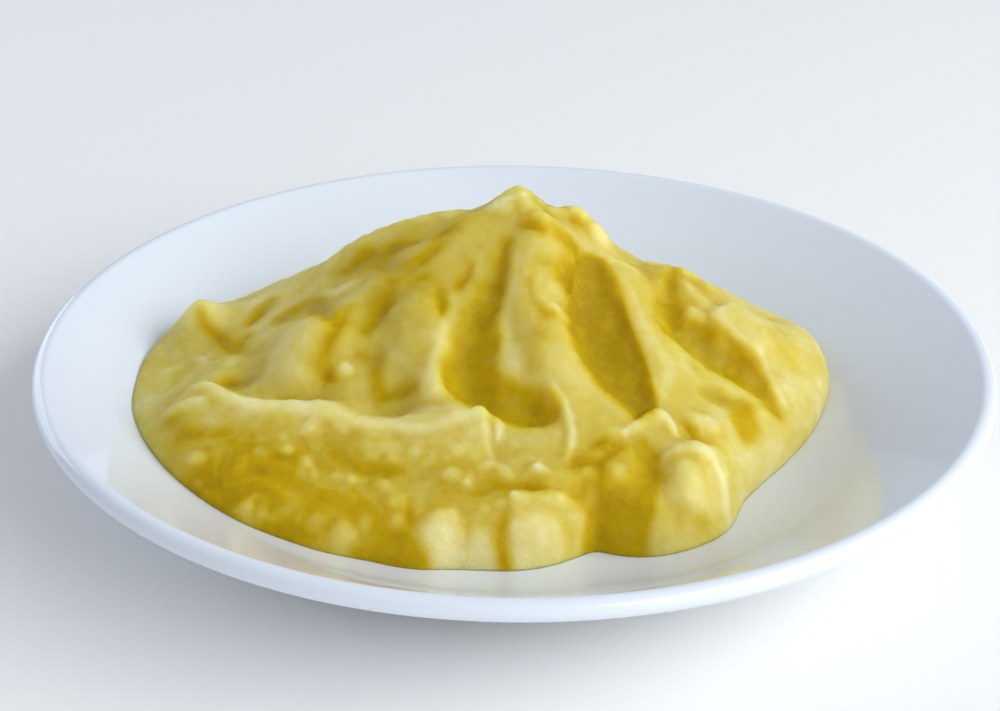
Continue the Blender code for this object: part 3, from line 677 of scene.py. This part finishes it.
def smooth_path(points, step):
    """Evenly spaced points on a smooth curve through the given ones."""
    given = np.array(points, dtype=float)
    ends = np.vstack([2 * given[0] - given[1], given, 2 * given[-1] - given[-2]])
    made = []
    for a, b, c, d in zip(ends, ends[1:], ends[2:], ends[3:]):
        count = max(2, int(np.hypot(*(c - b)[:2]) / step))
        for t in np.linspace(0, 1, count, endpoint=False):
            made.append(0.5 * (2 * b + (c - a) * t + (2 * a - 5 * b + 4 * c - d) * t ** 2
                               + (3 * b - a - 3 * c + d) * t ** 3))
    made.append(given[-1])
    return np.array(made)


def follow(x, y, points):
    """Distance to the left of a path, and the share of its length passed, at each place."""
    path = smooth_path(points, CURVE_STEP)
    heading = np.gradient(path, axis=0)
    heading /= np.hypot(heading[:, 0], heading[:, 1])[:, None]
    passed = np.concatenate([[0], np.cumsum(np.hypot(*np.diff(path, axis=0).T))])
    dx = x[:, None] - path[:, 0]
    dy = y[:, None] - path[:, 1]
    away = dx ** 2 + dy ** 2
    weight = np.exp(-(away - away.min(axis=1, keepdims=True)) / (4 * CURVE_STEP ** 2))
    weight /= weight.sum(axis=1, keepdims=True)
    left = heading[:, 0] * dy - heading[:, 1] * dx
    ahead = passed + heading[:, 0] * dx + heading[:, 1] * dy
    return (weight * left).sum(axis=1), (weight * ahead).sum(axis=1) / passed[-1]


def near_path(x, y, path, reach):
    """Indices of the places inside the path's own box widened by reach."""
    spots = np.array(path, dtype=float)
    low = spots.min(axis=0) - reach
    high = spots.max(axis=0) + reach
    return np.flatnonzero((x > low[0]) & (x < high[0]) & (y > low[1]) & (y < high[1]))


def spoon_mark(x, y, mark):
    """Height that one spoon mark adds at each place."""
    path, height, left_side, right_side, fades = mark
    rise = np.zeros_like(x)
    some = near_path(x, y, path, max(left_side[0], right_side[0]) + 2)
    left, share = follow(x[some], y[some], path)
    width = np.where(left > 0, left_side[0], right_side[0])
    crispness = np.where(left > 0, left_side[1], right_side[1])
    section = np.clip(1 - (left / width) ** 2, 0, 1) ** crispness
    fade_in = smoothstep(-0.01, fades[0], share)
    fade_out = 1 - smoothstep(1 - fades[1], 1.01, share)
    rise[some] = height * section * fade_in * fade_out
    return rise


def stroke(x, y, points, softness):
    """Share of a stroke's depth, and how far inside it, for a path with changing half width."""
    path = smooth_path(points, STROKE_STEP)
    half = path[:, 2]
    share = np.zeros_like(x)
    inside = np.zeros_like(x)
    some = near_path(x, y, path[:, :2], half.max() + PAINTED_LIGHT_MARGIN)
    away = (x[some, None] - path[:, 0]) ** 2 + (y[some, None] - path[:, 1]) ** 2
    bowl = np.clip(1 - away / half ** 2, 0, 1)
    share[some] = (bowl ** softness * half / half.max()).max(axis=1)
    inside[some] = np.clip(1 - away / (half + PAINTED_LIGHT_MARGIN) ** 2, 0, 1).max(axis=1)
    return share, inside


def squared_share(x, y, centre, reach):
    """Squared distance from a centre, as a share of the reach along X and Y."""
    return ((x - centre[0]) / reach[0]) ** 2 + ((y - centre[1]) / reach[1]) ** 2


def lump(x, y, centre, reach):
    """Share of a round-topped lump's rise at each place."""
    share = np.zeros_like(x)
    some = near_path(x, y, (centre,), max(reach))
    away = squared_share(x[some], y[some], centre, reach)
    share[some] = np.clip(1 - away, 0, 1) ** LUMP_SOFTNESS
    return share


def bend(x, y, broad_layer, fine_layer):
    """Shift that makes the strokes' edges wander."""
    broad = BROAD_BEND[0] * wobble(x, y, broad_layer, BROAD_BEND[1])
    return broad + FINE_BEND[0] * wobble(x, y, fine_layer, FINE_BEND[1])


def heap_skin(x, y, top, edge_width):
    """Height, relief, tone, share of deep yellow painted as shade and tone of that painted shade
    all over the heap's skin; the tone holds paler lips and lumps as painted highlight.
    """
    dx = x - SUMMIT[0]
    dy = y - SUMMIT[1]
    away = np.hypot(dx, dy)
    bearing = np.degrees(np.arctan2(dy, dx))
    ux = np.cos(np.radians(bearing))
    uy = np.sin(np.radians(bearing))

    def foot(reach):
        return plate_surface(np.hypot(SUMMIT[0] + reach * ux, SUMMIT[1] + reach * uy)) - SINK

    flank = round_the_compass(bearing, FLANKS, 1)
    shoulder = foot(flank) + round_the_compass(bearing, FLANKS, 2)
    share = np.clip(away / flank, 0, 1)
    rounding = math.sqrt(SUMMIT_ROUNDING)
    slope = np.sqrt(share ** 2 + SUMMIT_ROUNDING) - rounding * (1 - share) ** 2
    slope = np.clip(slope / math.sqrt(1 + SUMMIT_ROUNDING), 0, 1)
    height = shoulder + (top - shoulder) * (1 - slope) ** FLANK_HOLLOW
    plain = height
    for centre, reach, rise in SWELLINGS:
        height = height + rise * np.exp(-squared_share(x, y, centre, reach))

    bent_x = x + bend(x, y, 3.1, 8.2)
    bent_y = y + bend(x, y, 5.7, 1.4)
    for mark in SPOON_MARKS:
        height = height + spoon_mark(bent_x, bent_y, mark)
    tone = np.zeros_like(x)
    gold_shade = np.zeros_like(x)
    deepest = np.full_like(x, TEAR_SHADE_TONE)
    # Grooves and tears: deep yellow painted inside them as shade.
    for path, depth, groove_shade_tone in GROOVES:
        share, inside = stroke(bent_x, bent_y, path, GROOVE_SOFTNESS)
        height = height - depth * share
        gold_shade = np.maximum(gold_shade, smoothstep(0.0, GROOVE_SHADE_FADE, inside))
        deepest = np.where(inside > 0, groove_shade_tone, deepest)
    for path, depth, golden_shade in TEARS:
        share, inside = stroke(bent_x, bent_y, path, TEAR_SOFTNESS)
        height = height - TEAR_DEPTH * depth * share
        gold_shade = np.maximum(gold_shade, golden_shade * smoothstep(0.0, TEAR_SHADE_FADE, inside))
    # Paler painted highlight along the raised lips.
    for path, rise in LIPS:
        share, inside = stroke(bent_x, bent_y, path, TEAR_SOFTNESS)
        height = height + rise * share
        tone = tone - LIP_HIGHLIGHT * inside
    # Paler painted highlight on the raised lumps, growing with their rise.
    for centre, reach, rise in LUMPS:
        raised = lump(bent_x, bent_y, centre, reach)
        height = height + rise * raised
        tone = tone - LUMP_HIGHLIGHT * min(rise, 0.7) * raised

    outline = round_the_compass(bearing, OUTLINE, 1)
    ground = foot(outline)
    beyond = np.clip((away - outline + edge_width) / edge_width, 0, 1)
    swell = np.sqrt(1 - beyond ** 2)
    relief = (height - plain) * swell
    return ground + (height - ground) * swell, relief, tone, gold_shade, deepest


def wobble(x, y, z, size):
    """Smooth noise from -1 to 1 at each place, with features of about the given size in mm."""
    z = np.broadcast_to(z, x.shape)
    return np.array([noise.noise(Vector(at) / size) for at in zip(x, y, z)])


def curds(x, y, z, size):
    """Rounded lumps of about the given size in mm, from 0 between them to 1 on top."""
    near = [noise.voronoi(Vector(at) / size)[0][0] for at in zip(x, y, z)]
    return smoothstep(0.65, 0.05, np.array(near))


def square_to_outline(u, v, edge_width):
    """Place of each point of the square from -1 to 1, spread evenly over the heap's skin."""
    wide = np.abs(u) >= np.abs(v)
    reach = np.where(wide, u, v)
    safe = np.where(reach == 0, 1, reach)
    turn = np.where(wide, v / safe * math.pi / 4, math.pi / 2 - u / safe * math.pi / 4)
    bearing = np.degrees(np.arctan2(reach * np.sin(turn), reach * np.cos(turn)))
    outline = round_the_compass(bearing, OUTLINE, 1)
    flat = outline - edge_width
    flat_share = flat / (flat + edge_width * math.pi / 2)
    over_edge = np.clip((np.abs(reach) - flat_share) / (1 - flat_share), 0, 1) * math.pi / 2
    away = np.minimum(np.abs(reach) / flat_share, 1) * flat + edge_width * np.sin(over_edge)
    bearing = np.radians(bearing)
    return SUMMIT[0] + away * np.cos(bearing), SUMMIT[1] + away * np.sin(bearing)


def add_skin(bm, cells, border_cells, edge_width):
    """Lay a grid of square cells flat over the outline and return its vertices."""
    first = len(bm.verts)
    bmesh.ops.create_grid(bm, x_segments=cells, y_segments=cells, size=1.0)
    cuts = border_cells // cells - 1
    if cuts:
        rim = [edge for edge in bm.edges if edge.is_boundary]
        bmesh.ops.subdivide_edges(bm, edges=rim, cuts=cuts)
    made = list(bm.verts)[first:]
    flat = np.array([vert.co[:2] for vert in made])
    x, y = square_to_outline(flat[:, 0], flat[:, 1], edge_width)
    for vert, place in zip(made, zip(x * MM, y * MM)):
        vert.co.xy = place
    return made


def places(verts):
    """X and Y of vertices, in mm."""
    return np.array([vert.co[:2] for vert in verts]).T / MM


def lift(verts, height):
    for vert, z in zip(verts, height * MM):
        vert.co.z = z


def blurred(values, reach):
    """Box-blur a square array three times."""
    for _ in range(3):
        for axis in (0, 1):
            padded = np.pad(values, [(reach + 1, reach) if a == axis else (0, 0) for a in (0, 1)],
                            mode="edge")
            total = np.cumsum(padded, axis=axis)
            head = np.take(total, range(2 * reach + 1, total.shape[axis]), axis=axis)
            tail = np.take(total, range(total.shape[axis] - 2 * reach - 1), axis=axis)
            values = (head - tail) / (2 * reach + 1)
    return values


def from_outline(x, y):
    """Distance in towards the summit from the heap's outline."""
    bearing = np.degrees(np.arctan2(y - SUMMIT[1], x - SUMMIT[0]))
    return round_the_compass(bearing, OUTLINE, 1) - np.hypot(x - SUMMIT[0], y - SUMMIT[1])


def roughen(bm, verts, gold_shade, edge_width):
    """Push the skin in and out along its normals and return the tone that goes with it: paler curd
    tops as painted highlight, deeper gaps between curds as painted shade, and the patches of own
    colour, painted shade and painted light.
    """
    bm.normal_update()
    x, y, z = np.array([vert.co for vert in verts]).T / MM
    inward = from_outline(x, y)
    edge = 0.85 * smoothstep(0.0, edge_width, inward) + 0.15 * smoothstep(0.0, 0.5, inward)
    lumpy = np.zeros_like(x)
    for centre, reach, strength in LUMPY:
        near = np.exp(-squared_share(x, y, centre, reach) ** 2)
        lumpy = np.maximum(lumpy, strength * near)
    lumpy = lumpy * (1 - 0.8 * gold_shade)

    broad = wobble(x, y, z + 20, BROAD_PUSH[1])
    patches = smoothstep(-0.15, 0.35, wobble(x, y, z - 20, 7.0))
    swirl_x = x + SWIRL[0] * wobble(x, y, z + 40, SWIRL[1])
    swirl_y = y + SWIRL[0] * wobble(x, y, z - 40, SWIRL[1])
    big = curds(swirl_x, swirl_y, 1.5 * z, BIG_CURDS[1]) * patches
    small = curds(swirl_y, swirl_x, 1.5 * z, SMALL_CURDS[1]) * (0.35 + 0.65 * patches)
    push = BROAD_PUSH[0] * broad + FINE_PUSH[0] * wobble(x, y, z, FINE_PUSH[1])
    push = push + lumpy * (BIG_CURDS[0] * big + SMALL_CURDS[0] * small)
    for vert, distance in zip(verts, push * edge * MM):
        vert.co += vert.normal * distance
    tone = OPEN_TONE + BROAD_TONE * broad
    # Painted shade between the curds and painted highlight on their tops.
    tone = tone + lumpy * (LUMPY_SHADE - BIG_CURD_HIGHLIGHT * big - SMALL_CURD_HIGHLIGHT * small)
    # Patches of own colour, with painted shade on the left apron and painted light along the front
    # foot.
    for centre, reach, shift in TINTS_AND_PAINTED_LIGHT:
        tone = tone + shift * np.exp(-squared_share(swirl_x, swirl_y, centre, reach))
    return tone


def make_mash():
    sizes = settings().heap
    cells = sizes.cells
    under_cells = cells // 4
    edge_width = sizes.edge_width / MM

    bm = bmesh.new()
    tone_layer = bm.verts.layers.float.new("tone")
    foot_layer = bm.verts.layers.float.new("foot")
    under = add_skin(bm, under_cells, cells, edge_width)
    lift(under, plate_surface(np.hypot(*places(under))) - SINK)
    for vert in under:
        vert[tone_layer] = 0.5
        vert[foot_layer] = 1.0
    bmesh.ops.reverse_faces(bm, faces=bm.faces)
    top = add_skin(bm, cells, cells, edge_width)
    x, y = places(top)
    foot = 1 - smoothstep(0.0, FOOT_REACH, from_outline(x, y))
    height, relief, tone, gold_shade, deepest = heap_skin(x, y, sizes.height / MM, edge_width)
    lift(top, height)
    inner = [vert for vert in top if not vert.is_boundary]
    for _ in range(SMOOTHINGS):
        bmesh.ops.smooth_vert(bm, verts=inner, factor=0.5, use_axis_x=True, use_axis_y=True,
                              use_axis_z=True)
    tone = tone + roughen(bm, top, gold_shade, edge_width)
    relief = relief.reshape(cells + 1, cells + 1)
    # Painted shade in hollows and painted highlight on bumps, from the relief against its blur.
    hollow_shade = sum(share * (blurred(relief, reach) - relief) for share, reach in HOLLOW_SHADE)
    tone = tone + np.clip(hollow_shade.ravel(), *HOLLOW_SHADE_LIMITS)
    # Deep yellow painted as shade in the grooves and tears, blurred a little.
    gold_shade = blurred(gold_shade.reshape(relief.shape), 1).ravel()
    tone = np.clip(tone + (deepest - tone) * gold_shade, 0, 1)
    for vert, value, near in zip(top, tone, foot):
        vert[tone_layer] = value
        vert[foot_layer] = near
    bmesh.ops.remove_doubles(bm, verts=bm.verts, dist=0.00003)
    bmesh.ops.triangulate(bm, faces=bm.faces, quad_method="SHORT_EDGE")
    mash = finish_piece(bm, "mash_heap", mash_material())
    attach(mash, "root")
    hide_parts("mash")


# ---- the stage ----

def make_light(name, place, size, power, colour):
    lamp = bpy.data.lights.new(name, "AREA")
    lamp.shape = "RECTANGLE"
    lamp.size, lamp.size_y = size
    lamp.energy = power
    lamp.color = colour
    light = bpy.data.objects.new(name, lamp)
    light.location = place
    aim = Vector(LIGHT_AIM) - Vector(place)
    light.rotation_euler = aim.to_track_quat("-Z", "Y").to_euler()
    bpy.context.scene.collection.objects.link(light)


def make_floor(colour):
    bm = bmesh.new()
    bmesh.ops.create_grid(bm, x_segments=1, y_segments=1, size=3.0)
    material, tree, shader = new_material("stage_floor")
    speckle = place_speckle(tree, 4.0, 300.0)
    cloud_colour(tree, shader, speckle, colour, 0.985)
    shader.inputs["Roughness"].default_value = 0.8
    floor = finish_piece(bm, "stage_floor", material)


def make_camera(stage):
    lens = bpy.data.cameras.new("camera")
    lens.lens = CAMERA_LENS
    lens.sensor_width = 36.0
    camera = bpy.data.objects.new("camera", lens)
    tilt = Matrix.Rotation(math.pi / 2 - stage.elevation, 4, "X")
    roll = Matrix.Rotation(CAMERA_ROLL, 4, "Z")
    back = Vector((0.0, -math.cos(stage.elevation), math.sin(stage.elevation)))
    place = Vector(CAMERA_AIM) + back * stage.distance
    camera.matrix_world = Matrix.Translation(place) @ tilt @ roll
    bpy.context.scene.collection.objects.link(camera)
    bpy.context.scene.camera = camera


def make_world():
    world = bpy.data.worlds.new("studio")
    world.use_nodes = True
    back = world.node_tree.nodes["Background"]
    back.inputs["Color"].default_value = (*WORLD_COLOUR, 1.0)
    back.inputs["Strength"].default_value = WORLD_STRENGTH
    bpy.context.scene.world = world


def make_stage():
    stage = settings().stage
    make_floor(stage.floor)
    make_camera(stage)
    make_world()
    for light in LIGHTS:
        make_light(*light)
    bpy.context.scene.view_settings.view_transform = "Standard"


# ---- operators, panel and registration ----

class MASH_OT_plate(Operator):
    """Turn the porcelain plate"""
    bl_idname = "mash_side.plate"
    bl_label = "Plate"

    def execute(self, context):
        make_plate()
        return {"FINISHED"}


class MASH_OT_heap(Operator):
    """Sculpt the heap of mash"""
    bl_idname = "mash_side.heap"
    bl_label = "Heap of mash"

    def execute(self, context):
        make_mash()
        return {"FINISHED"}


class MASH_OT_stage(Operator):
    """Set the floor, the camera and the lights"""
    bl_idname = "mash_side.stage"
    bl_label = "Stage"

    def execute(self, context):
        make_stage()
        return {"FINISHED"}


class MASH_PT_side(Panel):
    """Lists the pieces and their sizes and colours"""
    bl_idname = "MASH_PT_side"
    bl_label = "Mashed potato side"
    bl_space_type = "VIEW_3D"
    bl_region_type = "UI"
    bl_category = "Mash"

    def draw(self, context):
        side = context.scene.mash_side
        for group, operator in ((side.plate, MASH_OT_plate), (side.heap, MASH_OT_heap),
                                (side.stage, MASH_OT_stage)):
            box = self.layout.box()
            for name in group.bl_rna.properties.keys():
                if name not in ("rna_type", "name"):
                    box.prop(group, name)
            box.operator(operator.bl_idname)


CLASSES = (PlateSettings, HeapSettings, StageSettings, SideSettings, MASH_OT_plate,
           MASH_OT_heap, MASH_OT_stage, MASH_PT_side)


def register():
    for cls in CLASSES:
        bpy.utils.register_class(cls)
    bpy.types.Scene.mash_side = PointerProperty(type=SideSettings)


def unregister():
    del bpy.types.Scene.mash_side
    for cls in reversed(CLASSES):
        bpy.utils.unregister_class(cls)


def main():
    register()
    bpy.ops.mash_side.plate()
    bpy.ops.mash_side.heap()
    bpy.ops.mash_side.stage()


if __name__ == "__main__":
    main()
